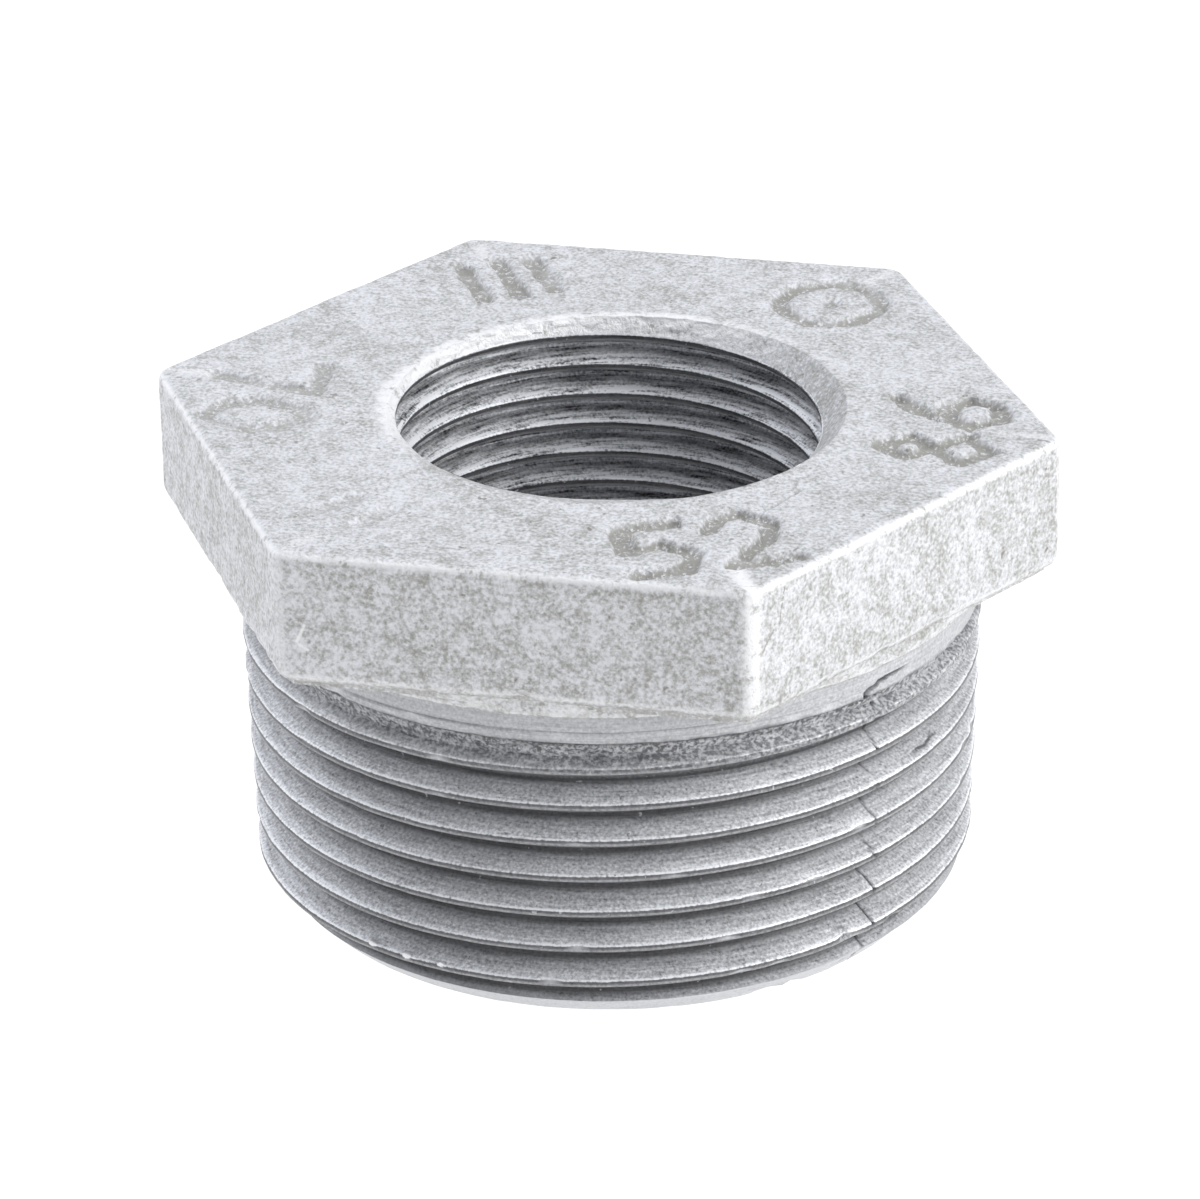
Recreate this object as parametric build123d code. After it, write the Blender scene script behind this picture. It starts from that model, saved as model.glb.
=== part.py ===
from build123d import *
import math
import os

# A hexagon bushing in malleable cast iron: a hexagon head on a short barrel with a taper
# pipe thread outside, and a smaller pipe thread cut down through the head. It stands on
# its threaded end, with the axis on Z and the origin in the middle of that end face.
# Millimetres and degrees. The hexagon has two corners on the X axis.

# Head
across_flats = 45.0
head_height = 8.0
head_corner_radius = 1.3        # the six upright edges
head_top_radius = 0.5           # the edge round the top face
head_under_radius = 0.8         # the edge round the underside

# Barrel, from the end face up to the underside of the head
barrel_length = 20.4
collar_height = 0.65            # rough cast ring that the lathe tool left under the head
collar_step = 0.45              # how far the ring stands out from the turned blank

# Outer thread: 1 1/4 inch taper pipe thread, right-handed
male_pitch = 25.4 / 11.5
male_pitch_diameter = 40.218    # halfway between crests and roots, at the gauge length
male_gauge_length = 10.668      # from the end face
male_taper = 1 / 16             # on the diameter
male_start_angle = 14.0         # where the middle of the groove meets the end face
male_end_clearance = 0.15       # the end face is this much smaller in radius than the roots
washout_length = 4.0            # the groove loses its depth over this length
washout_gap = 1.2               # plain blank between the washout and the cast ring

# Inner thread: 3/4 inch taper pipe thread, as the smooth hole inside its crests
female_major_diameter = 26.34   # at the top face; from there down it tapers
female_minor_diameter = 23.6
female_length = 17.5            # from the top face down to the cored hole
mouth_clearance = 0.08          # the bevel at the mouth is this much wider than the roots
core_clearance = 0.4            # the cored hole below is this much wider than the roots
core_cone_height = 1.0

# Form of the outer thread: 60 degrees between the flanks, with small flats
flank_angle = 30.0
flat_to_pitch = 0.11

# Worked out from the sizes above
overall_height = barrel_length + head_height
head_corner_distance = across_flats / math.sqrt(3)
collar_bottom = barrel_length - collar_height
washout_top = collar_bottom - washout_gap
male_depth = (0.5 - flat_to_pitch) * male_pitch / math.tan(math.radians(flank_angle))
male_cone_angle = math.degrees(math.atan(male_taper / 2))
bore_radius = female_minor_diameter / 2
mouth_radius = female_major_diameter / 2 + mouth_clearance
core_radius = female_major_diameter / 2 + core_clearance


def male_crest_radius(z):
    """Radius over the outer thread's crests at a height above the end face."""
    middle = male_pitch_diameter / 2 + (z - male_gauge_length) * male_taper / 2
    return middle + male_depth / 2


def turned(points):
    """A solid of revolution about Z from the (radius, height) corners of its half."""
    return revolve(Plane.XZ * make_face(Polyline(*points, close=True).edges()), Axis.Z)


def make_head():
    """The hexagon, with its upright and level edges rounded."""
    outline = Plane.XY.offset(barrel_length) * RegularPolygon(head_corner_distance, 6)
    head = extrude(outline, head_height)
    head = fillet(head.edges().filter_by(Axis.Z), head_corner_radius)
    head = fillet(head.faces().sort_by(Axis.Z)[-1].edges(), head_top_radius)
    return fillet(head.faces().sort_by(Axis.Z)[0].edges(), head_under_radius)


def make_blank():
    """The turned barrel before threading, with the cast ring that joins it to the head."""
    end_radius = male_crest_radius(0) - male_depth - male_end_clearance
    bevel_height = (male_crest_radius(0) - end_radius) / (1 - male_taper / 2)
    ring_radius = male_crest_radius(collar_bottom) + collar_step
    inside_head = barrel_length + head_height / 2
    return turned([
        (0, 0),
        (end_radius, 0),
        (male_crest_radius(bevel_height), bevel_height),
        (male_crest_radius(collar_bottom), collar_bottom),
        (ring_radius, collar_bottom),
        (ring_radius, inside_head),
        (0, inside_head),
    ])


def make_groove():
    """The cutter for the outer thread, from below the end face to above the washout."""
    slope = math.tan(math.radians(flank_angle))
    root_half = flat_to_pitch * male_pitch / 2
    # it reaches past the crests, but each turn of it stays clear of the next
    reach = male_depth + root_half / 2 / slope
    first = -2
    last = math.ceil(washout_top / male_pitch) + 1
    # one helix for each turn, because a tapered helix has its pitch along the cone
    path = Wire([
        Helix(
            male_pitch / math.cos(math.radians(male_cone_angle)),
            male_pitch,
            male_crest_radius(turn * male_pitch) - male_depth,
            center=(0, 0, turn * male_pitch),
            cone_angle=male_cone_angle,
        ).edge()
        for turn in range(first, last)
    ])
    section = Polyline(
        (0, -root_half),
        (reach, -root_half - reach * slope),
        (reach, root_half + reach * slope),
        (0, root_half),
        close=True,
    )
    start = Plane(origin=path @ 0, x_dir=(1, 0, 0), z_dir=(0, -1, 0))
    groove = sweep(start * make_face(section.edges()), path=path, is_frenet=True)
    return groove.rotate(Axis.Z, male_start_angle)


def make_washout():
    """The metal that the groove leaves where it gets shallow: a cone, and all above it."""
    foot = washout_top - washout_length
    beyond = male_crest_radius(washout_top) + male_depth
    top = overall_height + 2 * male_pitch
    return turned([
        (0, foot),
        (male_crest_radius(foot) - male_depth, foot),
        (male_crest_radius(washout_top), washout_top),
        (beyond, washout_top),
        (beyond, top),
        (0, top),
    ])


def make_bore():
    """All that is open along the axis: mouth, threaded hole and cored hole."""
    step = overall_height - female_length
    mouth_bevel = mouth_radius - bore_radius
    spare = 1.0
    return turned([
        (0, -spare),
        (core_radius, -spare),
        (core_radius, step - core_cone_height),
        (bore_radius, step),
        (bore_radius, overall_height - mouth_bevel),
        (mouth_radius + spare, overall_height + spare),
        (0, overall_height + spare),
    ])


barrel = make_blank() - (make_groove() - make_washout())
bushing = make_head() + barrel - make_bore()
bushing.label = "bushing"

os.makedirs("parts", exist_ok=True)
export_step(bushing, "parts/bushing.step")
print("bushing", len(bushing.solids()), "solid,", round(bushing.volume), "mm3")
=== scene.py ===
import math
import bmesh
import bpy
from mathutils import Matrix, Vector, noise


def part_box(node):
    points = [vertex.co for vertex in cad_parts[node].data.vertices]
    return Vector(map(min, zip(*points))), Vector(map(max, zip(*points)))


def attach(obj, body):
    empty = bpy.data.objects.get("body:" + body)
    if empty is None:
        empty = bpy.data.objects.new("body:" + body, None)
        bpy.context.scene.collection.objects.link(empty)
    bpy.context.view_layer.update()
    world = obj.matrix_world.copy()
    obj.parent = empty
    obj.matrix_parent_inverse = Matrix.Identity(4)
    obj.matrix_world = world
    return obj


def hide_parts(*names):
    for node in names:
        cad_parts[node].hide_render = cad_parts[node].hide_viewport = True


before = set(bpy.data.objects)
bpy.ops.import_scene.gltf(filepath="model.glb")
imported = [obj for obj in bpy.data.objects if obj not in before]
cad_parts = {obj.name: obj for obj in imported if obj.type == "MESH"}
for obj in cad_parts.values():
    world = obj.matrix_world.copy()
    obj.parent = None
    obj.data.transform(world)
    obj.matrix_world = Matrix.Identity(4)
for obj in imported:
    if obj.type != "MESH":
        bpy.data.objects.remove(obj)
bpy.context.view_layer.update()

nodeLow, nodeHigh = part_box("bushing")
millimetre = 0.001
overallHeight = (nodeHigh.z - nodeLow.z) / millimetre
flatRadius = (nodeHigh.y - nodeLow.y) / 2 / millimetre
sixth = math.pi / 3            # of a turn
origin = Vector((0, 0, 0))
hair = 0.001                   # millimetres; what is closer than this is at one level
touching = 0.01                # millimetres; points closer than this are joined
farAway = 1000                 # the distance given for what is out of reach
sharpAngle = 0.62              # radians; an edge that folds more isn't shaded smooth


def clamp(value, low, high):
    return max(low, min(high, value))


def mixed(first, second, share):
    return first + (second - first) * share


def smoothStep(low, high, value):
    share = clamp((value - low) / (high - low), 0, 1)
    return share * share * (3 - 2 * share)


def within(value, start, full, fade, end):  # rises from start to full and falls from fade to end
    return smoothStep(start, full, value) * smoothStep(end, fade, value)


def angleBetween(first, second):
    return (first - second + math.pi) % (2 * math.pi) - math.pi


def grain(point, size, shift):  # smooth noise from -1 to 1, with bumps of about that size
    return noise.noise(point / size + Vector((shift, shift * 2.3, shift * 0.7)))


def fading(value, strength, start, full):  # 0 at start, the whole strength at full
    return strength * smoothStep(start, full, value)


def layered(point, layers):  # layers of noise, each with its strength, size and shift
    return sum(strength * grain(point, size, shift) for strength, size, shift in layers)


def patches(point, size, shift, low, high):  # 1 in scattered patches of noise, 0 between them
    return smoothStep(low, high, grain(point, size, shift))


# Mesh helpers

def radiusOf(vert, centre=origin):
    return math.hypot(vert.co.x - centre.x, vert.co.y - centre.y)


def angleOf(vert, centre=origin):
    return math.atan2(vert.co.y - centre.y, vert.co.x - centre.x)


def setPolar(vert, radius, angle, centre=origin):
    vert.co.x = centre.x + radius * math.cos(angle)
    vert.co.y = centre.y + radius * math.sin(angle)


def polarPoint(degrees, radius, height):
    angle = math.radians(degrees)
    return Vector((radius * math.cos(angle), radius * math.sin(angle), height))


def wireFrom(bm, points):  # an open line of (radius, height) points at angle 0
    verts = [bm.verts.new((x, 0, z)) for x, z in points]
    for pair in zip(verts, verts[1:]):
        bm.edges.new(pair)


def divideLong(bm, longest):
    for edge in bm.edges[:]:
        cuts = math.ceil(edge.calc_length() / longest) - 1
        if cuts > 0:
            bmesh.ops.subdivide_edges(bm, edges=[edge], cuts=cuts)


def divideNear(bm, reaches, cuts):  # finer faces where the test says that a vertex is close enough
    near = {vert for vert in bm.verts if reaches(vert)}
    faces = [face for face in bm.faces if all(vert in near for vert in face.verts)]
    edges = list({edge for face in faces for edge in face.edges})
    bmesh.ops.subdivide_edges(bm, edges=edges, cuts=cuts, use_grid_fill=True)


def roundWire(bm, rounds):  # rounds the line's corners: {index of the point: (width, segments)}
    bm.verts.ensure_lookup_table()
    corners = [(bm.verts[index], *values) for index, values in rounds.items()]
    for corner, width, segments in corners:
        bmesh.ops.bevel(
            bm, geom=[corner], offset=width, offset_type="OFFSET", segments=segments,
            profile=0.5, affect="VERTICES", material=-1)


def splitLevel(bm, height, **cleared):  # clear_inner takes away what is below, clear_outer above
    bmesh.ops.bisect_plane(
        bm, geom=bm.verts[:] + bm.edges[:] + bm.faces[:], dist=hair / 10,
        plane_co=(0, 0, height), plane_no=(0, 0, 1), **cleared)


def splitCone(bm, radiusAtZero, slope):  # cuts the faces where a cone passes through them
    for vert in bm.verts:
        vert.co.z -= (radiusOf(vert) - radiusAtZero) / slope
    splitLevel(bm, 0)
    for vert in bm.verts:
        vert.co.z += (radiusOf(vert) - radiusAtZero) / slope


def only(kind, made):  # the vertices or the faces of an operator's result
    return [item for item in made["geom"] if isinstance(item, kind)]


def openRim(bm, test):  # the open edges whose two ends pass the test
    return [edge for edge in bm.edges if edge.is_boundary and all(test(vert) for vert in edge.verts)]


def newLayers(bm, *names):  # numbers on the vertices, which the materials read
    return [bm.verts.layers.float.new(name) for name in names]


def oldLayers(bm, *names):
    return [bm.verts.layers.float.get(name) for name in names]


def paint(bm, name, value):
    layer, = newLayers(bm, name)
    for vert in bm.verts:
        vert[layer] = value(vert)


def spinThread(bm, points, size, turns):  # winds one pitch of the thread's outline up the axis
    wireFrom(bm, points)
    crest, root = size["crestRound"], size["rootRound"]
    roundWire(bm, {1: crest, 2: root, 3: root, 4: crest})
    divideLong(bm, size["longestEdge"])
    bmesh.ops.rotate(
        bm, verts=bm.verts, cent=origin, matrix=Matrix.Rotation(math.radians(size["startAngle"]), 3, "Z"))
    bmesh.ops.spin(
        bm, geom=bm.verts[:] + bm.edges[:], cent=origin, axis=(0, 0, 1), angle=2 * math.pi,
        dvec=(0, 0, size["pitch"] / size["steps"]), steps=size["steps"])
    oneTurn = bm.verts[:] + bm.edges[:] + bm.faces[:]
    for turn in range(1, turns):
        raised = only(bmesh.types.BMVert, bmesh.ops.duplicate(bm, geom=oneTurn))
        bmesh.ops.translate(bm, verts=raised, vec=(0, 0, size["pitch"] * turn))
    bmesh.ops.remove_doubles(bm, verts=bm.verts, dist=touching)


def threadOutline(crest, root, size, below):  # one pitch, crest to crest, with the groove in its middle
    half = size["pitch"] / 2
    crestHalf = size["crestFlat"] / 2
    rootHalf = size["rootFlat"] / 2
    return [
        (crest, below - half), (crest, below - half + crestHalf), (root, below - rootHalf),
        (root, below + rootHalf), (crest, below + half - crestHalf), (crest, below + half)]


# The barrel with its outer thread

barrel = {
    "pitch": 25.4 / 11.5,
    "depth": 1.492,
    "pitchRadius": 40.218 / 2,  # halfway between crests and roots, at the gauge length
    "gaugeLength": 10.668,
    "taper": 1 / 32,           # radius gained in each millimetre of height
    "crestWear": 0.10,         # rubbed off the crests
    "crestFlat": 0.34,
    "rootFlat": 0.25,
    "crestRound": (0.07, 2),   # width and segments
    "rootRound": (0.14, 2),
    "startAngle": 14.0,        # where a groove's middle meets the end face
    "steps": 170,              # round each turn
    "longestEdge": 0.48,
    "endRadius": 18.45,        # of the end face, where its bevel starts
    "washoutFoot": 14.55,      # the groove's floor starts to rise here
    "washoutTop": 18.55,       # and is level with the crests here
    "neckFoot": 17.55,         # the metal is torn below this level and turned smooth above it
    "neckRise": (0.10, 0.12),  # above its foot: where the neck's form starts, and a cut round it
    "neckFade": (0.0, 0.15),   # and where its look starts and is full
    "neckDent": 0.10,          # the groove's depth that is left in the neck
    "neckWander": [(0.08, 0.9, 18)],
    "topLevel": 18.65,         # where the barrel's mesh meets the head's
    "waves": [(0.03, 1.3, 1), (0.015, 0.4, 2)],
    "onCrest": (0.25, 0.02),   # below the crests, where nicks start and are full
    "nicks": (0.8, 3, 0.40, 0.70),
    "nickDepth": 0.16,
    "nickShine": 0.5,
    "tornBand": (-1.9, -1.0, -0.04, 0.06),    # heights from the neck's foot
    "tornDepths": (0.02, 0.2),
    "rowBand": (-0.22, -0.04, 0.06, 0.20),    # the dark row between the torn metal and the neck
    "rowShade": 0.9,
    "pits": (0.45, 9, 0.05, 0.4),
    "pitDepth": 0.12,
    "pitShade": 0.25,
    "bevelEdge": (0.04, 0.0),  # the distances from the end face's bevel where it is plain turned metal with a painted highlight
    "bevelFade": (2.3, 2.1),
    "bevelHighlight": 0.3,
    "raggedDepth": 0.45,       # of the lower edge, near the parting line
    "raggedSize": 1.1,
    "raggedSpan": (0.9, 0.5),  # radians on either side
    "raggedFade": (1.6, 0.4),  # heights
    "seamAngle": -33.4,        # the two moulds met here and on the far side
    "seamWidth": 0.30,         # in degrees to either side
    "seamCore": 0.05,          # where it has its whole depth
    "seamDepth": 0.16,
    "seamWander": [(0.6, 0.5, 0)],
    "seamPatches": (0.45, 5, -0.55, -0.1),
    "seamFade": (17.6, 17.2),
    "seamColumns": 1.6,        # this many columns of faces on either side are divided
    "seamCuts": 5,
    "fineCuts": 4,             # in each edge near burrs and cracks
    "burrReach": 0.9,
    "burrCore": 0.1,           # the share of the width that has the whole height
    "spikeShare": 0.7,         # of a spike goes outward, and as much of it upward
    "spikeShine": (0.03, 0.2),
    "burrs": [  # angle, height, width and how far each spike stands out
        (-118.6, 2.72, 0.32, 0.50),
        (-111.7, 2.74, 0.36, 0.45),
        (-105.5, 2.76, 0.26, 0.40),
    ],
    "chipCore": 0.35,
    "chipRagged": [(0.25, 0.35, 14)],
    "chips": [  # angle, height, size and depth of places broken out of the crests
        (-28.5, 2.3, 0.9, 0.45),
        (-39.0, 3.3, 0.6, 0.30),
        (-34.0, 1.2, 0.8, 0.35),
    ],
    "scarReach": 0.3,
    "scarSpan": 15,            # degrees that a crack goes at most from its first point
    "scarCore": 0.3,
    "scarRagged": [(0.4, 0.3, 22)],
    "scars": [  # width, depth, and the angle and height of each point of the cracks
        (0.24, 0.30, [(-27.8, 18.6), (-31.1, 18.5), (-34.5, 18.2), (-36.0, 17.9), (-36.2, 17.4)]),
        (0.07, 0.05, [(-17.0, 12.6), (-17.8, 12.4), (-19.9, 12.3), (-23.0, 12.4)]),
    ],
}


def crestRadius(height):
    middle = barrel["pitchRadius"] + (height - barrel["gaugeLength"]) * barrel["taper"]
    return middle + barrel["depth"] / 2 - barrel["crestWear"]


def onCrests(spots):  # with a point on the crests in place of each spot's angle and height
    return [(polarPoint(angle, crestRadius(z), z), *values) for angle, z, *values in spots]


def makeBarrel():
    bm = bmesh.new()
    pitch = barrel["pitch"]
    below = -pitch
    turns = math.ceil((barrel["topLevel"] - below) / pitch + 0.5)
    crest = crestRadius(barrel["gaugeLength"])
    wornDepth = barrel["depth"] - barrel["crestWear"]
    spinThread(bm, threadOutline(crest, crest - wornDepth, barrel, below), barrel, turns)
    for vert in bm.verts:
        radius = radiusOf(vert) + (vert.co.z - barrel["gaugeLength"]) * barrel["taper"]
        setPolar(vert, radius, angleOf(vert))
    divideSeam(bm)
    splitLevel(bm, 0, clear_inner=True)
    splitLevel(bm, barrel["topLevel"], clear_outer=True)
    neckStart, neckCut = (barrel["neckFoot"] + rise for rise in barrel["neckRise"])
    for level in (barrel["washoutTop"], barrel["neckFoot"], neckCut):
        splitLevel(bm, level)

    washoutLow = crestRadius(barrel["washoutFoot"]) - wornDepth
    washoutHigh = crestRadius(barrel["washoutTop"])
    slope = (washoutHigh - washoutLow) / (barrel["washoutTop"] - barrel["washoutFoot"])
    washoutAtZero = washoutLow - barrel["washoutFoot"] * slope
    splitCone(bm, barrel["endRadius"], 1)
    splitCone(bm, washoutAtZero, slope)
    for vert in bm.verts:
        height = vert.co.z
        radius = max(radiusOf(vert), min(washoutAtZero + height * slope, crestRadius(height)))
        radius = min(radius, barrel["endRadius"] + height)
        if height > neckStart:
            radius = max(radius, crestRadius(height) - barrel["neckDent"])
        setPolar(vert, radius, angleOf(vert))
    divideNear(bm, nearBurr, barrel["fineCuts"])
    divideNear(bm, nearScar, barrel["fineCuts"])
    wearBarrel(bm)
    paint(bm, "cast", lambda vert: 0)
    for face in bm.faces:
        face.material_index = 1
    return bm


def nearBurr(vert):
    burrs = onCrests(barrel["burrs"])
    return any((vert.co - spike).length < barrel["burrReach"] for spike, width, rise in burrs)


def nearScar(vert):
    reach = barrel["scarReach"]
    return any(scarGap(vert, line) < width + reach for width, depth, line in barrel["scars"])


def seamGap(vert):  # degrees from the nearer parting line, which wanders a little
    wander = layered(Vector((0, 0, vert.co.z)), barrel["seamWander"])
    angle = math.degrees(angleOf(vert)) - barrel["seamAngle"] + wander
    return abs((angle + 90) % 180 - 90)


def divideSeam(bm):  # narrow columns of faces beside the parting lines
    step = 360 / barrel["steps"]
    reach = step * barrel["seamColumns"]
    crossing = []
    for edge in bm.edges:
        first, second = edge.verts
        turned = abs(math.degrees(angleBetween(angleOf(first), angleOf(second))))
        if turned > step / 2 and max(seamGap(first), seamGap(second)) < reach:
            crossing.append(edge)
    bmesh.ops.subdivide_edges(bm, edges=crossing, cuts=barrel["seamCuts"], use_grid_fill=True)


def scarGap(vert, line):  # how far a vertex is from a crack, on the unrolled barrel
    girth = barrel["pitchRadius"]
    angle = angleOf(vert)
    if abs(math.degrees(angle) - line[0][0]) > barrel["scarSpan"]:
        return farAway
    points = [Vector((math.radians(degrees) * girth, height)) for degrees, height in line]
    return distanceToStroke(Vector((angle * girth, vert.co.z)), points)


def wearBarrel(bm):  # nicks, burrs, the parting lines and the torn metal at the thread's upper end
    worn, sunk, plain, torn = newLayers(bm, "worn", "sunk", "plain", "torn")
    burrs, chips = onCrests(barrel["burrs"]), onCrests(barrel["chips"])
    seamAngle = math.radians(barrel["seamAngle"])
    for vert in bm.verts:
        place = vert.co.copy()
        height = place.z
        radius = radiusOf(vert)
        onCrest = smoothStep(*barrel["onCrest"], crestRadius(height) - radius)
        nick = patches(place, *barrel["nicks"]) * onCrest
        seam = smoothStep(barrel["seamWidth"], barrel["seamCore"], seamGap(vert))
        seam *= patches(place, *barrel["seamPatches"]) * smoothStep(*barrel["seamFade"], height)
        aboveFoot = height - barrel["neckFoot"] + layered(place, barrel["neckWander"])
        rough = within(aboveFoot, *barrel["tornBand"])
        row = within(aboveFoot, *barrel["rowBand"])
        pit = rough * patches(place, *barrel["pits"])
        fromBevel = abs(radius - barrel["endRadius"] - height)
        atBevel = smoothStep(*barrel["bevelEdge"], fromBevel) * smoothStep(*barrel["bevelFade"], height)
        fromSeam = abs(angleBetween(angleOf(vert), seamAngle))
        ragged = smoothStep(*barrel["raggedSpan"], fromSeam) * smoothStep(*barrel["raggedFade"], height)
        broken = barrel["raggedDepth"] * ragged * max(0, grain(place, barrel["raggedSize"], 21))
        for width, depth, line in barrel["scars"]:  # cracks
            gap = scarGap(vert, line) + width * layered(place, barrel["scarRagged"])
            crack = smoothStep(width, width * barrel["scarCore"], gap)
            broken += depth * crack
            row = max(row, crack)
        for centre, size, depth in chips:
            gap = (place - centre).length + size * layered(place, barrel["chipRagged"])
            broken = max(broken, fading(gap, depth, size, size * barrel["chipCore"]))
        spike = 0
        for centre, width, rise in burrs:
            gap = (place - centre).length
            spike = max(spike, fading(gap, rise, width, width * barrel["burrCore"]))
        shine = nick * barrel["nickShine"] + smoothStep(*barrel["spikeShine"], spike)
        shade = seam + pit * barrel["pitShade"] + row * barrel["rowShade"]
        vert[plain] = max(atBevel, smoothStep(*barrel["neckFade"], aboveFoot))
        vert[torn] = max(rough, smoothStep(*barrel["tornDepths"], broken))
        # painted highlight on the end face's bevel, added to the bright bare metal of nicks and burrs
        vert[worn] = clamp(shine + barrel["bevelHighlight"] * atBevel, 0, 1)
        vert[sunk] = clamp(shade, 0, 1)
        radius +=layered(place, barrel["waves"]) - barrel["nickDepth"] * nick
        radius -= barrel["seamDepth"] * seam + barrel["pitDepth"] * pit + broken
        setPolar(vert, radius + spike * barrel["spikeShare"], angleOf(vert))
        vert.co.z += spike * barrel["spikeShare"]


# The bore with its inner thread

bore = {
    "pitch": 25.4 / 14,
    "depth": 1.2256,
    "crestRadius": 11.95,      # at the top face
    "holeRadius": 11.71,       # the drilled hole cuts the crests off at this radius lower down
    "taper": 1 / 32,
    "crestFlat": 0.29,
    "rootFlat": 0.20,
    "crestRound": (0.06, 1),
    "rootRound": (0.10, 2),
    "startAngle": 136.0,       # where a groove's middle meets the top face
    "steps": 132,
    "longestEdge": 0.50,
    "mouthRadius": 12.85,
    "mouthCentre": Vector((0.53, -0.32, 0)),  # the cast mouth sits a little off the tapped hole
    "mouthBack": 102.7,        # the middle of the crest's turn that the mouth's bevel comes down to
    "mouthLeast": 0.4,         # the bevel's least height
    "mouthFade": (-180, -120),  # where that height passes into the crest's, in degrees from mouthBack
    "mouthCuts": 1,
    "flakesAndHighlightBand": (-1.1, -0.3, 1.6, 2.3),      # radians from mouthBack
    "flakes": [(0.13, 0.6, 4), (0.09, 0.28, 6)],
    "flakeFade": (0, 0.25),    # shares of the bevel's height
    "calmShare": 0.25,         # of the flakes on the rest of the bevel
    "calmShade": 0.34,
    "waves": [(0.015, 0.9, 1), (0.02, 0.35, 2)],
    "coreRadius": 13.57,
    "coreTop": 9.9,
    "threadEnd": 10.9,
}


def mouthOutward(angle):  # from the axis to the mouth's edge
    toward = bore["mouthCentre"].x * math.cos(angle) + bore["mouthCentre"].y * math.sin(angle)
    offset = bore["mouthCentre"].length
    return toward + math.sqrt(bore["mouthRadius"] ** 2 - offset ** 2 + toward ** 2)


def mouthLine(angle):  # the height of the bevel's lower edge, at the first crest
    turned = math.degrees(angleBetween(angle, math.radians(bore["mouthBack"])))
    turns = (bore["mouthBack"] + turned - bore["startAngle"]) / 360 - 0.5
    line = overallHeight + bore["pitch"] * turns + bore["crestFlat"] / 2
    least = overallHeight - bore["mouthLeast"]
    return mixed(least, min(line, least), smoothStep(*bore["mouthFade"], turned))


def flakesAndHighlightShare(angle):  # 1 where the mouth's edge is broken and flaky, with painted highlight and wear, round its back and left side
    turned = angleBetween(angle, math.radians(bore["mouthBack"]))
    return within(turned, *bore["flakesAndHighlightBand"])


def makeBore():
    bm = bmesh.new()
    pitch = bore["pitch"]
    turns = math.ceil((overallHeight - bore["coreTop"]) / pitch) + 2
    below = overallHeight - pitch * (turns - 1)
    crest = bore["crestRadius"]
    spinThread(bm, threadOutline(crest, crest + bore["depth"], bore, below), bore, turns)
    splitLevel(bm, bore["coreTop"], clear_inner=True)
    splitLevel(bm, overallHeight, clear_outer=True)
    for vert in bm.verts:
        radius = radiusOf(vert) - (overallHeight - vert.co.z) * bore["taper"]
        setPolar(vert, max(radius, bore["holeRadius"]), angleOf(vert))
    coreSlope = (bore["holeRadius"] - bore["coreRadius"]) / (bore["threadEnd"] - bore["coreTop"])
    coreAtZero = bore["coreRadius"] - coreSlope * bore["coreTop"]
    splitCone(bm, coreAtZero, coreSlope)
    divideNear(bm, lambda vert: vert.co.z > mouthLine(angleOf(vert)) - 2 * touching, bore["mouthCuts"])

    cast, worn, sunk = newLayers(bm, "cast", "worn", "sunk", "plain", "torn")[:3]
    lip = set()
    for vert in bm.verts:
        height = vert.co.z
        angle = angleOf(vert)
        radius = max(radiusOf(vert), coreAtZero + coreSlope * height)
        line = mouthLine(angle)
        if height > line + touching:
            lip.add(vert)
            share = clamp((height - line) / (overallHeight - line), 0, 1)
            radius = mixed(crest, mouthOutward(angle), share)
            flakesAndHighlight = flakesAndHighlightShare(angle)
            rough = layered(vert.co, bore["flakes"]) * mixed(bore["calmShare"], 1, flakesAndHighlight)
            radius += rough * smoothStep(*bore["flakeFade"], share)
            # painted highlight and wear on the flaky part of the bevel
            vert[worn] = flakesAndHighlight
            vert[sunk] = bore["calmShade"] * (1 - flakesAndHighlight)
        else:
            radius += layered(vert.co, bore["waves"])
        setPolar(vert, radius, angle)
    for height in (bore["coreTop"] / 2, 0):
        rim = openRim(bm, lambda vert: vert.co.z < bore["coreTop"] + touching)
        for vert in only(bmesh.types.BMVert, bmesh.ops.extrude_edge_only(bm, edges=rim)):
            setPolar(vert, bore["coreRadius"], angleOf(vert))
            vert.co.z = height
            vert[cast] = 1
    for face in bm.faces:
        inCore = all(vert[cast] for vert in face.verts)
        inMouth = all(vert in lip for vert in face.verts)
        face.material_index = 0 if inCore or inMouth else 2
    return bm


# The head: a spun outline whose circles are pushed out to a hexagon

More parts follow.
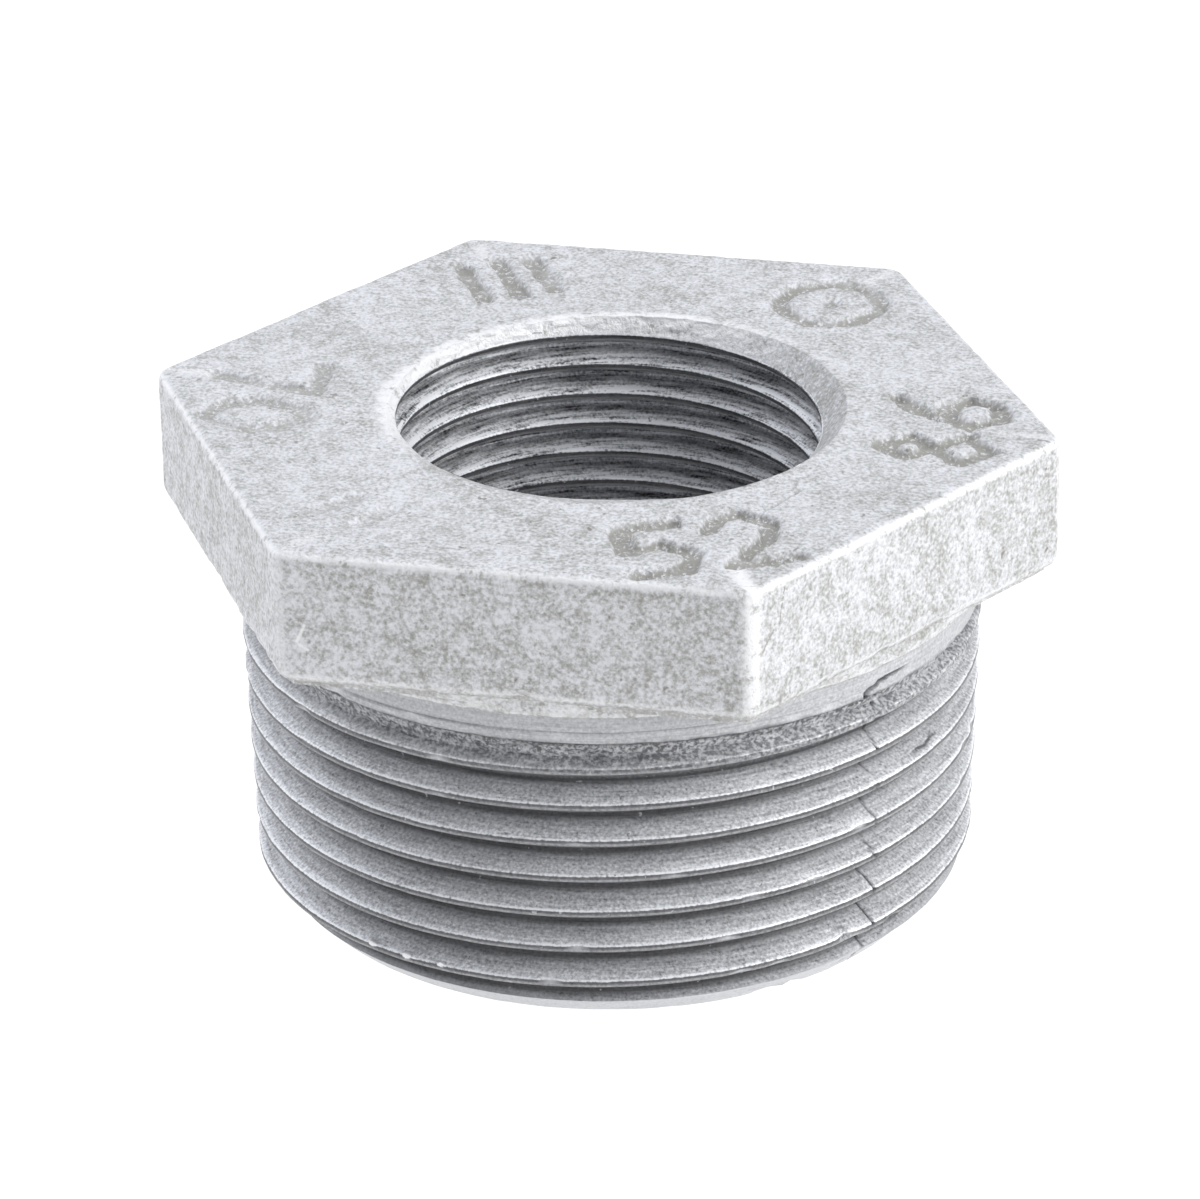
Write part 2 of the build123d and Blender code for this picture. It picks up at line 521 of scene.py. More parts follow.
head = {
    "rimRadius": 13.3,         # the ring next to the mouth
    "height": 7.8,
    "cornerRadius": 1.3,       # of the six upright edges
    "topRound": 0.5,
    "underRound": 0.8,
    "collarTopRadius": 21.80,
    "collarRadius": 21.59,
    "collarHeight": 1.15,
    "collarBevel": 0.15,
    "roundSteps": (4, 2),      # of the head's round edges, and of the collar's bevel
    "neckStep": 0.03,         # the turned neck stands this much proud of the crests
    "centre": Vector((-0.34, 0, 0)),         # the casting sits a little off the thread's axis
    "collarCentre": Vector((-0.12, 0, 0)),
    "steps": 456,
    "longestEdge": 0.36,
    "cornerCrowding": 0.5,     # the share by which the columns close up at the corners
    "waves": [(0.035, 4, 1), (0.028, 1.3, 2), (0.02, 0.55, 3)],
    "skinDrop": 0.04,          # how far the skin lies inside the plain form
    "mouthSettle": (0.1, 1.4),  # the waves start between these distances from the mouth
    "edgeSlant": (0.12, 0.5, 0.8, 0.99),      # the slants of a surface that count as an edge
    "edgeDents": [(0.10, 0.8, 5)],
    "edgeChips": (1.7, 6, 0.35, 0.6),
    "chipDepth": 0.16,
    "topZone": 0.1,            # down from the top face
    "underSlant": (0.25, 0.6),  # the slants of a downward surface, from light to full shade
    # how dark the painted shade under the head is
    "underShade": 0.42,
    "highlightLostInShade": 0.9,         # the share of the painted highlight and wear on edges that full painted shade takes away
    "cornerWearAndHighlight": (0.45, 0.55, 0.15),         # painted highlight and wear on all six upright edges: strength, and the distances where it starts and is full
    # a painted highlight on one upright edge: strength, and the distances where it starts and is full
    "cornerHighlight": (0.55, 0.75, 0.35),
    "highlightCorner": -60.0,     # the upright edge with the strongest painted highlight
    # painted highlight and wear on the top face beside the mouth's flaky edge: strength, and the distances
    # where it starts and is full
    "rimWearAndHighlight": (0.9, 0.75, 0.3),
    "rimRagged": [(0.35, 0.5, 15)],
    "underGap": 0.05,          # between the head's underside and the cast ring's pitted part
    "footBand": (0.35, 0.05),  # above the ring's foot, where its pits start and are full
    "footPits": (0.5, 16, 0.05, 0.35),
    "footFlakes": (0.45, 17, 0.0, 0.3),
    "scratchReach": 0.6,
    "scratchCuts": 4,
    "scratchCore": 0.3,        # the share of the width that has the whole strength
    "faceReach": 0.05,         # how near a side's plane its vertices lie
    "scratches": [  # the face's angle, then along and up of both ends, width, and if it is bright
        (-90, (-11.5, 24.2), (-11.9, 23.25), 0.13, True),
        (-90, (-11.8, 23.1), (-11.3, 22.8), 0.13, True),
        (-30, (-10.5, 27.8), (-10.85, 25.9), 0.09, False),
        (-30, (-11.4, 25.6), (-12.35, 24.5), 0.09, False),
    ],
    "topScratch": [Vector((12.6, -9.45)), Vector((11.1, -12.7))],
    "topScratchWidth": 0.08,
    "topScratchShade": 0.35,
    "topScratchCuts": 3,
}
underside = overallHeight - head["height"]
collarFoot = underside - head["collarHeight"]
neckRadius = crestRadius(collarFoot) + head["neckStep"]


def hexagonRadius(angle, inradius, corner):  # a hexagon with rounded corners, one of them at angle 0
    fromFlat = abs(angle % sixth - sixth / 2)
    if inradius * math.tan(fromFlat) <= (inradius - corner) * math.tan(sixth / 2):
        return inradius / math.cos(fromFlat)
    centreOut = (inradius - corner) / math.cos(sixth / 2)
    fromCorner = sixth / 2 - fromFlat
    aside = centreOut * math.sin(fromCorner)
    return centreOut * math.cos(fromCorner) + math.sqrt(corner ** 2 - aside ** 2)


def makeHead():
    bm = bmesh.new()
    top = overallHeight
    inner = head["rimRadius"]
    topEdge = flatRadius - head["topRound"]
    underEdge = flatRadius - head["underRound"]
    wireFrom(bm, [
        (inner, top), (flatRadius, top), (flatRadius, underside), (head["collarTopRadius"], underside),
        (head["collarRadius"], collarFoot), (neckRadius, collarFoot), (neckRadius, barrel["topLevel"])])
    fine, coarse = head["roundSteps"]
    roundWire(bm, {
        1: (head["topRound"], fine), 2: (head["underRound"], fine), 4: (head["collarBevel"], coarse)})
    divideLong(bm, head["longestEdge"])
    bmesh.ops.spin(
        bm, geom=bm.verts[:] + bm.edges[:], cent=origin, axis=(0, 0, 1), angle=2 * math.pi,
        steps=head["steps"], use_merge=True)
    for vert in bm.verts:
        radius, angle = radiusOf(vert), angleOf(vert)
        if vert.co.z > top - hair and radius < topEdge:  # the top face, from the round mouth to the edge
            share = (radius - inner) / (topEdge - inner)
            corner = mixed(inner, head["cornerRadius"] - head["topRound"], share)
            centre = bore["mouthCentre"].lerp(head["centre"], share)
            setHead(vert, angle, radius, corner, share, centre)
        elif vert.co.z > underside + hair or radius > underEdge:  # the six sides and their round edges
            corner = head["cornerRadius"] - (flatRadius - radius)
            setHead(vert, angle, radius, corner, 1, head["centre"])
        elif vert.co.z > underside - hair:  # the underside, from the collar out to the edge
            share = (radius - head["collarTopRadius"]) / (underEdge - head["collarTopRadius"])
            outward = hexagonRadius(angle, underEdge, head["cornerRadius"] - head["underRound"])
            centre = head["collarCentre"].lerp(head["centre"], share)
            setPolar(vert, mixed(radius, outward, share), angle, centre)
        elif radius > neckRadius + hair:
            setPolar(vert, radius, angle, head["collarCentre"])
    return bm


def setHead(vert, angle, radius, corner, share, centre):
    angle -= head["cornerCrowding"] * share * math.sin(6 * angle) / 6
    setPolar(vert, hexagonRadius(angle, radius, corner), angle, centre)


# The marks: plain numbers and simple shapes, sunk in the top face beside the corners

marks = {
    "height": 6.0,             # of a number, from its foot at the outer side to its head
    "width": 3.6,
    "gap": 1.5,
    "stroke": 1.15,
    "depth": 0.55,
    "placeRadius": 19.2,
    "reach": 9,                # from the middle of any mark to its end
    "cuts": 1,
    "ringSteps": 24,
    "wallOutside": 0.15,       # the wall of a stroke starts this far outside its edge
    "wallInside": 0.22,
    "ragged": [(0.22, 1.1, 11), (0.14, 0.45, 12)],
    "fullness": 0.85,
    "fainter": [(0.5, 1.6, 13)],
    "uneven": [(0.25, 0.45, 7)],
}
digits = {  # strokes in a box one wide and one high
    "0": [[(0.5, 0), (0.1, 0.2), (0, 0.5), (0.1, 0.8), (0.5, 1), (0.9, 0.8), (1, 0.5), (0.9, 0.2), (0.5, 0)]],
    "2": [[(0, 0.75), (0.2, 0.95), (0.6, 1), (0.95, 0.75), (0.8, 0.5), (0, 0), (1, 0)]],
    "5": [[(0.95, 1), (0.15, 1), (0.05, 0.55), (0.6, 0.6), (1, 0.35), (0.7, 0.03), (0, 0.05)]],
    "6": [[(0.85, 1), (0.3, 0.7), (0, 0.3), (0.3, 0), (0.8, 0.05), (0.95, 0.35), (0.6, 0.55), (0.1, 0.4)]],
    "7": [[(0, 1), (1, 1), (0.4, 0)]],
    "8": [
        [(0.5, 0.53), (0.1, 0.75), (0.5, 1), (0.9, 0.75), (0.5, 0.53)],
        [(0.5, 0.53), (0, 0.25), (0.5, 0), (1, 0.25), (0.5, 0.53)]],
}


def numberStrokes(number):  # in millimetres, centred, with the foot of the number outward
    strokes = []
    full = len(number) * marks["width"] + (len(number) - 1) * marks["gap"]
    for place, digit in enumerate(number):
        left = place * (marks["width"] + marks["gap"]) - full / 2
        for stroke in digits[digit]:
            strokes.append([
                Vector((left + x * marks["width"], (y - 0.5) * marks["height"])) for x, y in stroke])
    return strokes


def ringStrokes(radius):
    turns = [2 * math.pi * step / marks["ringSteps"] for step in range(marks["ringSteps"] + 1)]
    return [[Vector((radius * math.cos(turn), radius * math.sin(turn))) for turn in turns]]


def barStrokes(count, length, spacing):
    lines = []
    for index in range(count):
        across = (index - (count - 1) / 2) * spacing
        lines.append([Vector((across, -length / 2)), Vector((across, length / 2))])
    return lines


dot = [[Vector((0, 0)), Vector((0.01, 0))]]
cornerMarks = [  # the angle of its corner, its strokes, and how deep it came out
    (119.0, barStrokes(3, 5.0, 2.1), 0.8),
    (59.0, ringStrokes(2.9) + dot, 0.8),
    (0.5, numberStrokes("86"), 1.0),
    (-61.5, numberStrokes("52"), 1.0),
    (-172.5, numberStrokes("70"), 0.55),
    (-121.5, barStrokes(2, 2.2, 2.6), 0.4),
]


def distanceToStroke(point, stroke):
    nearest = farAway
    for start, end in zip(stroke, stroke[1:]):
        along = end - start
        share = clamp((point - start).dot(along) / along.dot(along), 0, 1)
        nearest = min(nearest, (start + along * share - point).length)
    return nearest


def distanceToAny(point, strokes):
    return min(distanceToStroke(point, stroke) for stroke in strokes)


def markPoint(vert, angle):  # where a point of the top face lies in a mark's own box
    turn = math.radians(angle)
    place = head["centre"].xy + marks["placeRadius"] * Vector((math.cos(turn), math.sin(turn)))
    offset = vert.co.xy - place
    inward = Vector((-math.cos(turn), -math.sin(turn)))
    right = Vector((inward.y, -inward.x))
    return Vector((offset.dot(right), offset.dot(inward)))


def sinkMarks(bm):
    topVerts = [vert for vert in bm.verts if vert.co.z > overallHeight - hair]
    highest = marks["height"] / 2 + marks["stroke"]
    near = set()
    for angle, strokes, depth in cornerMarks:
        for vert in topVerts:
            point = markPoint(vert, angle)
            if abs(point.y) < highest and distanceToAny(point, strokes) < marks["stroke"]:
                near.add(vert)
    divideNear(bm, lambda vert: vert in near, marks["cuts"])
    sunk, = newLayers(bm, "sunk")
    half = marks["stroke"] / 2
    for vert in bm.verts:
        if vert.co.z < overallHeight - hair:
            continue
        for angle, strokes, depth in cornerMarks:
            point = markPoint(vert, angle)
            if point.length > marks["reach"]:
                continue
            gap = distanceToAny(point, strokes) + layered(vert.co, marks["ragged"])
            share = smoothStep(half + marks["wallOutside"], half - marks["wallInside"], gap)
            share *= depth * clamp(marks["fullness"] + layered(vert.co, marks["fainter"]), 0, 1)
            vert[sunk] = max(vert[sunk], share)


def scratchGap(vert, scratch):  # how far a vertex is from the middle line of a scratch on a side
    faceAngle, start, end = scratch[:3]
    angle = math.radians(faceAngle)
    outward = Vector((math.cos(angle), math.sin(angle), 0))
    place = vert.co - head["centre"]
    if abs(place.dot(outward) - flatRadius) > head["faceReach"]:
        return farAway
    along = place.x * -outward.y + place.y * outward.x
    return distanceToStroke(Vector((along, place.z)), [Vector(start), Vector(end)])


def topScratchGap(vert):
    if vert.co.z < overallHeight - hair:
        return farAway
    return distanceToStroke(vert.co.xy, head["topScratch"])


def nearScratch(vert):
    return any(scratchGap(vert, scratch) < head["scratchReach"] for scratch in head["scratches"])


def scratchHead(bm):
    divideNear(bm, nearScratch, head["scratchCuts"])
    divideNear(bm, lambda vert: topScratchGap(vert) < head["scratchReach"], head["topScratchCuts"])
    sunk, worn = oldLayers(bm, "sunk", "worn")
    for vert in bm.verts:
        if vert.co.z < underside:
            continue
        for scratch in head["scratches"]:
            width, bright = scratch[3:]
            near = smoothStep(1.0, head["scratchCore"], scratchGap(vert, scratch) / width)
            vert[worn if bright else sunk] += near
        fromTop = topScratchGap(vert)
        vert[sunk] += fading(fromTop, head["topScratchShade"], head["topScratchWidth"], 0)


def roughenHead(bm):  # the uneven cast skin, its ragged edges and the marks' floors, with painted highlight and wear on the edges and painted shade under the head
    bm.normal_update()
    cast, worn, sunk = oldLayers(bm, "cast", "worn", "sunk")
    highlightAngle = math.radians(head["highlightCorner"])
    moves = []
    for vert in bm.verts:
        if vert[cast] < 0.5:
            continue
        place = vert.co
        onTop = place.z > overallHeight - head["topZone"]
        slant = abs(vert.normal.z)
        edge = within(slant, *head["edgeSlant"])
        shaded = 0
        # painted shade on the head's downward round edges, kept with the sunk places
        if vert.normal.z < 0 and place.z > collarFoot:
            shaded = smoothStep(*head["underSlant"], slant)
            vert[sunk] = max(vert[sunk], head["underShade"] * shaded)
        dent = max(0, layered(place, head["edgeDents"]))
        chip = edge * (dent + head["chipDepth"] * patches(place, *head["edgeChips"]))
        move = layered(place, head["waves"]) - head["skinDrop"] - chip
        fromMouth = radiusOf(vert, bore["mouthCentre"]) - bore["mouthRadius"]
        if onTop:
            move *= smoothStep(*head["mouthSettle"], fromMouth)
            move -= marks["depth"] * vert[sunk] * (1 + layered(place, marks["uneven"]))
            ragged = fromMouth + layered(place, head["rimRagged"])
            # painted highlight and wear beside the mouth's flaky edge
            edge = max(edge, flakesAndHighlightShare(angleOf(vert)) * fading(ragged, *head["rimWearAndHighlight"]))
        moves.append((vert, move))
        corner = angleOf(vert, head["centre"])
        fromHighlight = abs(angleBetween(corner, highlightAngle)) * radiusOf(vert)
        fromCorner = abs((corner + sixth / 2) % sixth - sixth / 2) * radiusOf(vert)
        # painted highlight and wear on the upright edges, and a stronger painted highlight on one of them
        if place.z > underside and radiusOf(vert, head["centre"]) > flatRadius:
            upright = fading(fromCorner, *head["cornerWearAndHighlight"]) + fading(fromHighlight, *head["cornerHighlight"])
            edge = max(edge, upright)
        if barrel["topLevel"] < place.z < underside - head["underGap"]:  # on the cast ring
            start, full = (collarFoot + rise for rise in head["footBand"])
            foot = smoothStep(start, full, place.z)
            foot *= smoothStep(underside - 2 * head["underGap"], collarFoot, place.z)
            vert[sunk] = max(vert[sunk], foot * patches(place, *head["footPits"]))
            edge = max(edge, foot * patches(place, *head["footFlakes"]))
        # painted highlight and wear on the edges, taken down where painted shade falls
        vert[worn] = max(vert[worn], edge * (1 - head["highlightLostInShade"] * shaded))
    for vert, move in moves:
        vert.co += vert.normal * move


def join(pieces):
    whole = bmesh.new()
    for piece in pieces:
        mesh = bpy.data.meshes.new("part")
        piece.to_mesh(mesh)
        piece.free()
        whole.from_mesh(mesh)
        bpy.data.meshes.remove(mesh)
    return whole


def closeRing(bm, rims, material):  # fills the flat ring between two round rims at one level
    made = bmesh.ops.triangle_fill(bm, edges=rims, use_beauty=True)
    for face in only(bmesh.types.BMFace, made):
        face.material_index = material


def onNeck(vert):
    return radiusOf(vert) < neckRadius + touching and vert.co.z < underside


def makeBushing():
    print("bushing: barrel")
    outside = makeBarrel()
    print("bushing: bore")
    inside = makeBore()
    print("bushing: head")
    cap = makeHead()
    paint(cap, "cast", lambda vert: 0 if onNeck(vert) else 1)
    paint(cap, "plain", lambda vert: 1 if onNeck(vert) else 0)
    paint(cap, "worn", lambda vert: 0)
    sinkMarks(cap)
    scratchHead(cap)
    for face in cap.faces:
        face.material_index = 1 if all(onNeck(vert) for vert in face.verts) else 0
    print("bushing: one closed mesh")
    bm = join([outside, inside, cap])
    for level, material in (overallHeight, 0), (barrel["topLevel"], 1), (0, 1):
        rims = openRim(bm, lambda vert: abs(vert.co.z - level) < touching)
        closeRing(bm, rims, material)
    bmesh.ops.recalc_face_normals(bm, faces=bm.faces)
    roughenHead(bm)
    for edge in bm.edges:
        edge.smooth = edge.calc_face_angle(0) < sharpAngle
    bmesh.ops.scale(bm, verts=bm.verts, vec=(millimetre, millimetre, millimetre))
    mesh = bpy.data.meshes.new("bushing_body")
    for face in bm.faces:
        face.smooth = True
    bm.to_mesh(mesh)
    bm.free()
    body = bpy.data.objects.new("bushing_body", mesh)
    bpy.context.scene.collection.objects.link(body)
    return body


# Materials

class Wire:  # a node's output that takes part in Python expressions
    def __init__(self, finish, socket):
        self.finish = finish
        self.socket = socket

    def math(self, operation, *values):
        return self.finish.node("ShaderNodeMath", {"operation": operation}, dict(enumerate(values)))

    def __add__(self, other):
        return self.math("ADD", self, other)

    def __radd__(self, other):
        return self.math("ADD", other, self)

    def __sub__(self, other):
        return self.math("SUBTRACT", self, other)

    def __rsub__(self, other):
        return self.math("SUBTRACT", other, self)

    def __mul__(self, other):
        return self.math("MULTIPLY", self, other)

    def __rmul__(self, other):
        return self.math("MULTIPLY", other, self)


class Finish:  # a material with one shader, and the one method that adds its nodes
    def __init__(self, name, **values):
        self.material = bpy.data.materials.new(name)
        self.material.use_nodes = True
        self.tree = self.material.node_tree
        self.shader = self.tree.nodes["Principled BSDF"]
        for socketName, value in values.items():
            self.shader.inputs[socketName].default_value = value

    def node(self, kind, settings, inputs, output=0):
        made = self.tree.nodes.new(kind)
        for name, value in settings.items():
            if name == "stops":
                self.setStops(made.color_ramp.elements, value)
            else:
                setattr(made, name, value)
        for key, value in inputs.items():
            if isinstance(value, Wire):
                self.tree.links.new(value.socket, made.inputs[key])
            else:
                made.inputs[key].default_value = value
        return Wire(self, made.outputs[output])

    def setStops(self, elements, stops):  # greys, from the lowest place to the highest
        while len(elements) > 1:
            elements.remove(elements[-1])
        elements[0].position = stops[0][0]
        for index, (place, grey) in enumerate(stops):
            element = elements.new(place) if index else elements[0]
            element.color = (grey, grey, grey, 1)

    def drive(self, socketName, wire):
        self.tree.links.new(wire.socket, self.shader.inputs[socketName])

    def places(self, scale):  # object coordinates, stretched
        coordinates = self.node("ShaderNodeTexCoord", {}, {}, "Object")
        return self.node("ShaderNodeMapping", {}, {"Vector": coordinates, "Scale": scale})

    def noise(self, vector, scale, detail, roughness):
        values = {"Vector": vector, "Scale": scale, "Detail": detail, "Roughness": roughness}
        return self.node("ShaderNodeTexNoise", {"normalize": True}, values, "Fac")

    def painted(self, name):
        return self.node("ShaderNodeAttribute", {"attribute_name": name}, {}, "Fac")

    def band(self, value, low, high):  # 0 at low, 1 at high
        return self.node(
            "ShaderNodeMapRange", {"interpolation_type": "SMOOTHSTEP"},
            {"Value": value, "From Min": low, "From Max": high, "To Min": 0.0, "To Max": 1.0}, "Result")

    def blend(self, share, first, second):
        return self.node(
            "ShaderNodeMix", {"data_type": "RGBA"}, {"Factor": share, 6: first, 7: second}, 2)

    def bump(self, height, distance):
        return self.node(
            "ShaderNodeBump", {}, {"Height": height, "Distance": distance, "Strength": 1.0}, "Normal")

    def threadPhase(self, size, level, wobble):  # 0 in the middle of the groove, 0.5 on the crest
        place = self.places((1 / millimetre, 1 / millimetre, 1 / millimetre))
        x, y, z = (self.node("ShaderNodeSeparateXYZ", {}, {"Vector": place}, axis) for axis in "XYZ")
        turns = x.math("ARCTAN2", y, x) * (0.5 / math.pi)
        spareTurns = 20  # they keep the phase above 0
        shift = size["startAngle"] / 360 - level / size["pitch"] + spareTurns
        phase = z * (1 / size["pitch"]) - turns + shift + wobble
        return phase.math("FRACT", phase)


# The scales of noise are waves in a metre: at 4200, flecks of about a quarter of a millimetre.

castLook = {
    "light": (0.75, 0.755, 0.79, 1),
    "dark": (0.33, 0.33, 0.305, 1),
    "worn": (0.90, 0.90, 0.91, 1),
    "sunk": (0.34, 0.335, 0.31, 1),
    "spot": (0.20, 0.17, 0.15, 1),
    "fleck": (4200, 4, 0.65),  # scale, detail and roughness of the noise
    "mottle": (1100, 3, 0.6),
    "blotch": (260, 2, 0.5),
    "spots": (1500, 2, 0.5),
    "shares": (0.60, 0.27, 0.13),             # of fleck, mottle and blotch in the shade
    "shadeBand": (0.34, 0.62),
    "spotBand": (0.70, 0.76),
    "spotShare": 0.7,
    "wornAndHighlightShares": (0.6, 0.4),  # of mottle and fleck in the worn and highlighted places
    "wornAndHighlightBand": (0.30, 0.50),
    "wornAndHighlightShare": 0.9,
    "sunkAndShadedBand": (0.12, 0.75),
    "sunkAndShadedFlecks": (0.66, 0.52),
    "roughness": 0.70,
    "fleckGloss": 0.3,
    "bumpMottle": 0.5,
    "bumpDepth": 0.00010,
    "metallic": 0.3,
}


def castSkin():
    look = castLook
    finish = Finish("cast_skin", Metallic=look["metallic"])
    vector = finish.places((1, 1, 1))
    fleck = finish.noise(vector, *look["fleck"])
    mottle = finish.noise(vector, *look["mottle"])
    blotch = finish.noise(vector, *look["blotch"])
    fleckShare, mottleShare, blotchShare = look["shares"]
    shade = fleck * fleckShare + mottle * mottleShare + blotch * blotchShare
    colour = finish.blend(finish.band(shade, *look["shadeBand"]), look["dark"], look["light"])
    spots = finish.band(finish.noise(vector, *look["spots"]), *look["spotBand"])
    colour = finish.blend(spots * look["spotShare"], colour, look["spot"])
    # sunk places and painted shade, darkened toward a dark grey
    sunk = finish.band(finish.painted("sunk"), *look["sunkAndShadedBand"])
    sunk = sunk * finish.band(fleck, *look["sunkAndShadedFlecks"])
    colour = finish.blend(sunk, colour, look["sunk"])
    # worn places and painted highlights, lightened toward a pale grey
    mottleShare, fleckShare = look["wornAndHighlightShares"]
    worn = finish.band(mottle * mottleShare + fleck * fleckShare, *look["wornAndHighlightBand"])
    worn = finish.painted("worn") * worn
    colour = finish.blend(worn * look["wornAndHighlightShare"], colour, look["worn"])
    finish.drive("Base Color", colour)
    finish.drive("Roughness", look["roughness"] - fleck * look["fleckGloss"])
    finish.drive("Normal", finish.bump(fleck + mottle * look["bumpMottle"], look["bumpDepth"]))
    return finish.material


turnedLook = {
    "dark": (0.018, 0.018, 0.021, 1),
    "light": (0.92, 0.93, 0.96, 1),
    "neck": 0.52,              # how light the plain turned places are
    "stops": [  # how light the metal is painted round one turn, from a groove's middle to the next one: painted shade deep in the grooves and on the crests' flats, and a painted highlight along each crest's upper edge
        (0.0, 0.06), (0.06, 0.12), (0.25, 0.25), (0.40, 0.30), (0.43, 0.34), (0.475, 0.28), (0.50, 0.13),
        (0.555, 0.12), (0.570, 0.95), (0.594, 1.0), (0.608, 0.72), (0.64, 0.66), (0.78, 0.60), (0.86, 0.50),
        (0.91, 0.27), (0.95, 0.09), (1.0, 0.05)],
    "streakScale": (200, 200, 9000),
    "streak": (1, 3, 0.65),
    "streakContrast": 1.3,
    "speck": (5600, 3, 0.6),
    "speckContrast": 2.4,
    "fleck": (4200, 3, 0.6),   # of the torn metal
    "fleckBand": (0.38, 0.64),
    "fleckTones": (0.12, 0.70),
    "pit": (2600, 2, 0.5),
    "darkPits": ((0.70, 0.75), 0.6, 0.06),    # band, share and tone
    "brightPits": ((0.30, 0.25), 0.5, 0.80),
    "neckStreaks": 0.8,
    "neckSpecks": 1.2,
    "wobble": 0.03,            # of a turn, by which the tones round the thread are uneven
    "tornShare": 0.8,
    # how light worn places and painted highlights are
    "wornAndHighlightTone": 0.9,
    "sunkTone": 0.03,
    "sunkShare": 0.9,
    "roughness": 0.34,
    "streakRoughness": 0.25,
    "bumpSpecks": 0.6,
    "bumpDepth": 0.00003,
    "metallic": 0.25,
}


def turnedIron(name, size, level, look):
    finish = Finish(name, Metallic=look["metallic"])
    streak = finish.noise(finish.places(look["streakScale"]), *look["streak"])
    even = finish.places((1, 1, 1))
    speck = finish.noise(even, *look["speck"])
    fleck = finish.noise(even, *look["fleck"])
    pit = finish.noise(even, *look["pit"])
    phase = finish.threadPhase(size, level, (speck - 0.5) * look["wobble"])
    # painted shade in the grooves and painted highlights on the crests, laid round the thread by its phase
    tone = finish.node("ShaderNodeValToRGB", {"stops": look["stops"]}, {"Fac": phase}, "Color")
    tone = tone * (1 + (streak - 0.5) * look["streakContrast"] + (speck - 0.5) * look["speckContrast"])
    for band, share, pitTone in look["darkPits"], look["brightPits"]:
        tone = mixed(tone, pitTone, finish.band(pit, *band) * share)
    flecks = mixed(*look["fleckTones"], finish.band(fleck, *look["fleckBand"]))
    tone = mixed(tone, flecks, finish.painted("torn") * look["tornShare"])
    smooth = 1 + (streak - 0.5) * look["neckStreaks"] + (speck - 0.5) * look["neckSpecks"]
    tone = mixed(tone, look["neck"] * smooth, finish.painted("plain"))
    tone = mixed(tone, look["wornAndHighlightTone"], finish.painted("worn"))
    tone = mixed(tone, look["sunkTone"], finish.painted("sunk") * look["sunkShare"])
    finish.drive("Base Color", finish.blend(tone, look["dark"], look["light"]))
    finish.drive("Roughness", look["roughness"] + streak * look["streakRoughness"])
    finish.drive("Normal", finish.bump(streak + speck * look["bumpSpecks"], look["bumpDepth"]))
    return finish.material


boreLook = dict(
    turnedLook,
    # painted shade in the grooves and on the crests' flats, and a painted highlight along each crest's upper
    # edge, as on the barrel
    stops=[
        (0.0, 0.72), (0.05, 0.62), (0.10, 0.48), (0.25, 0.38), (0.40, 0.16), (0.45, 0.05), (0.54, 0.05),
        (0.565, 0.95), (0.60, 1.0), (0.63, 0.92), (0.70, 0.78), (0.77, 0.58), (0.83, 0.36), (0.88, 0.32),
        (0.93, 0.44), (0.97, 0.66), (1.0, 0.72)],
    streakScale=(350, 350, 9000),
    streakContrast=4.5,
    speckContrast=2.6)


# Camera, light and floor

view = {  # found by fitting the hexagon's edges, both threads and the outline
    "turn": 12.68,             # the camera's side of the part, in degrees from -Y
    "elevation": 25.72,
    "roll": -0.827,
    "distance": 349.3,
    "target": (-0.66, 0.925, 15.19),  # aside, up the picture, and the height on the axis
    "pixelsWide": 1200,
    "focalPixels": 6150,
    "sensor": 36.0,
    "nearest": 0.01,           # metres
}


def makeCamera():
    turn = math.radians(view["turn"])
    elevation = math.radians(view["elevation"])
    level = math.cos(elevation)
    forward = Vector((-math.sin(turn) * level, math.cos(turn) * level, -math.sin(elevation)))
    roll = Matrix.Rotation(math.radians(-view["roll"]), 3, forward)
    right = roll @ Vector((math.cos(turn), math.sin(turn), 0))
    up = right.cross(forward)
    aside, above, height = view["target"]
    target = Vector((0, 0, height)) + right * aside + up * above
    data = bpy.data.cameras.new("camera")
    data.sensor_width = view["sensor"]
    data.lens = view["focalPixels"] / view["pixelsWide"] * view["sensor"]
    data.clip_start = view["nearest"]
    camera = bpy.data.objects.new("camera", data)
    bpy.context.scene.collection.objects.link(camera)
    axes = Matrix((right, up, -forward)).transposed()
    place = (target - forward * view["distance"]) * millimetre
    camera.matrix_world = Matrix.Translation(place) @ axes.to_4x4()
    bpy.context.scene.camera = camera


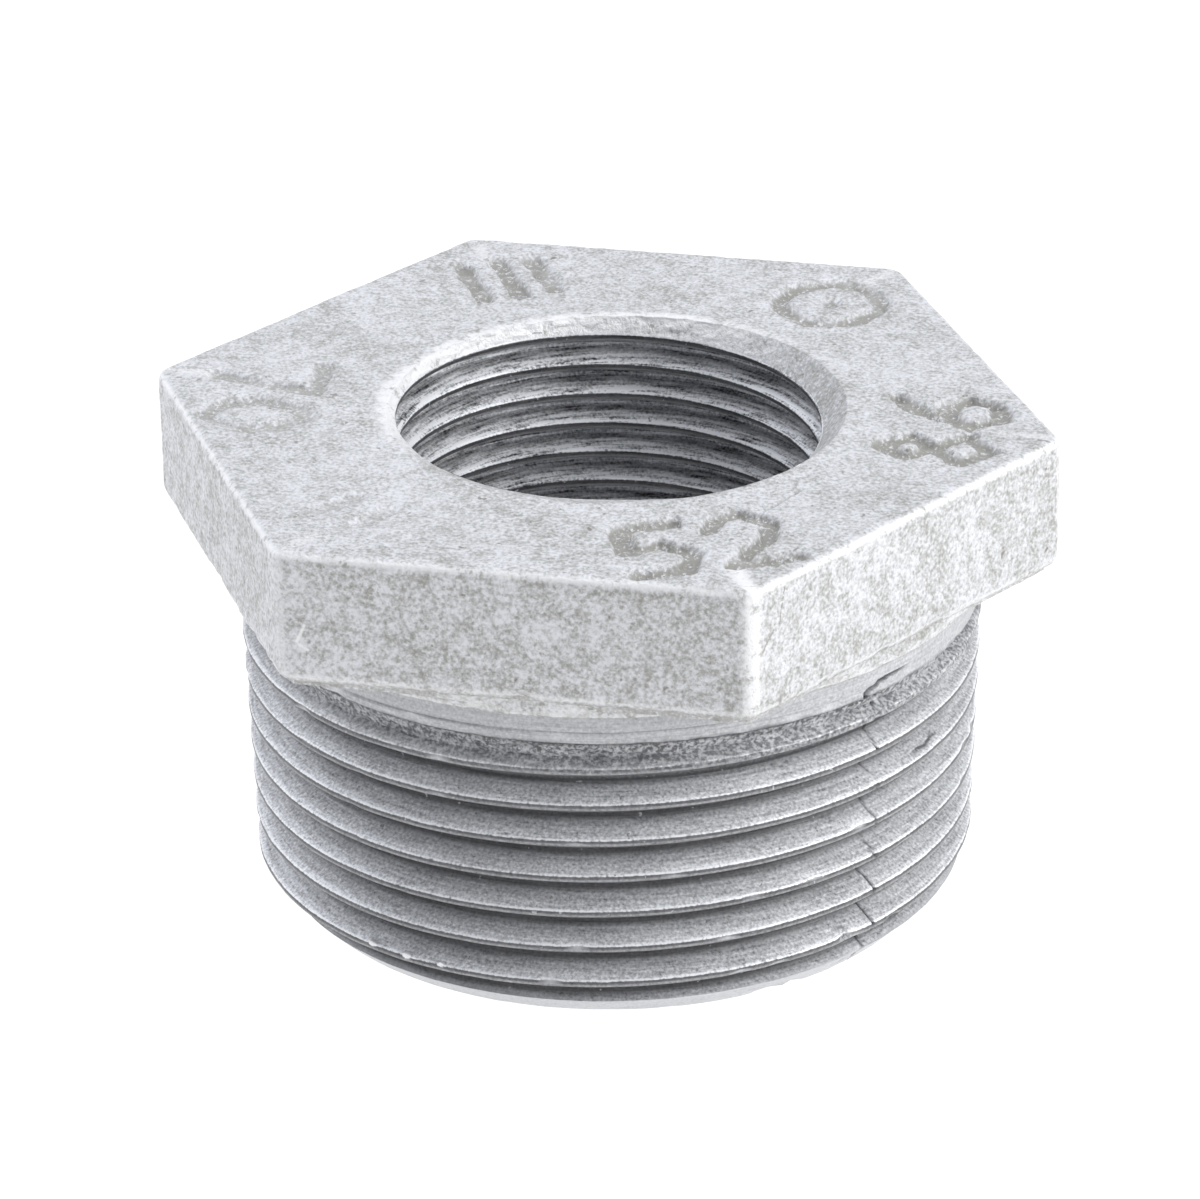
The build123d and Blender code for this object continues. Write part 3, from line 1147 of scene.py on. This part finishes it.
studio = {
    "world": (0.93, 0.95, 1.0, 1),
    "worldStrength": 0.44,
    "lights": {  # azimuth from the camera to the right, elevation, distance, side, watts, colour
        "top": (180, 72, 0.45, 0.40, 1.1, (0.96, 0.97, 1.0)),
        "left": (-115, 24, 0.45, 0.40, 0.8, (0.93, 0.95, 1.0)),
        "right": (70, 25, 0.45, 0.40, 1.8, (1.0, 1.0, 0.99)),
    },
    "floorSide": 4.0,
    "floorPaper": {
        "Base Color": (0.1, 0.1, 0.1, 1),
        "Roughness": 0.9,
        "Emission Color": (1, 1, 1, 1),
        "Emission Strength": 1.0,
    },
}


def makeLights():
    world = bpy.data.worlds.new("studio")
    world.use_nodes = True
    background = world.node_tree.nodes["Background"]
    background.inputs["Color"].default_value = studio["world"]
    background.inputs["Strength"].default_value = studio["worldStrength"]
    bpy.context.scene.world = world
    middle = Vector((0, 0, overallHeight / 2 * millimetre))
    for name, (azimuth, elevation, distance, side, watts, colour) in studio["lights"].items():
        turn = math.radians(view["turn"] - 90 + azimuth)
        rise = math.radians(elevation)
        away = Vector((math.cos(turn) * math.cos(rise), math.sin(turn) * math.cos(rise), math.sin(rise)))
        data = bpy.data.lights.new(name, "AREA")
        data.size = side
        data.energy = watts
        data.color = colour
        lamp = bpy.data.objects.new(name, data)
        lamp.location = middle + away * distance
        lamp.rotation_euler = away.to_track_quat("Z", "Y").to_euler()
        bpy.context.scene.collection.objects.link(lamp)


def makeFloor():
    bm = bmesh.new()
    bmesh.ops.create_grid(bm, x_segments=1, y_segments=1, size=studio["floorSide"] / 2)
    mesh = bpy.data.meshes.new("floor")
    bm.to_mesh(mesh)
    bm.free()
    floor = bpy.data.objects.new("floor", mesh)
    bpy.context.scene.collection.objects.link(floor)
    mesh.materials.append(Finish("floor_paper", **studio["floorPaper"]).material)


body = makeBushing()
print("materials")
body.data.materials.append(castSkin())
body.data.materials.append(turnedIron("turned_iron", barrel, 0, turnedLook))
body.data.materials.append(turnedIron("tapped_iron", bore, overallHeight, boreLook))
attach(body, "root")
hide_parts("bushing")
print("camera, light and floor")
makeCamera()
makeLights()
makeFloor()
bpy.context.scene.view_settings.view_transform = "Standard"
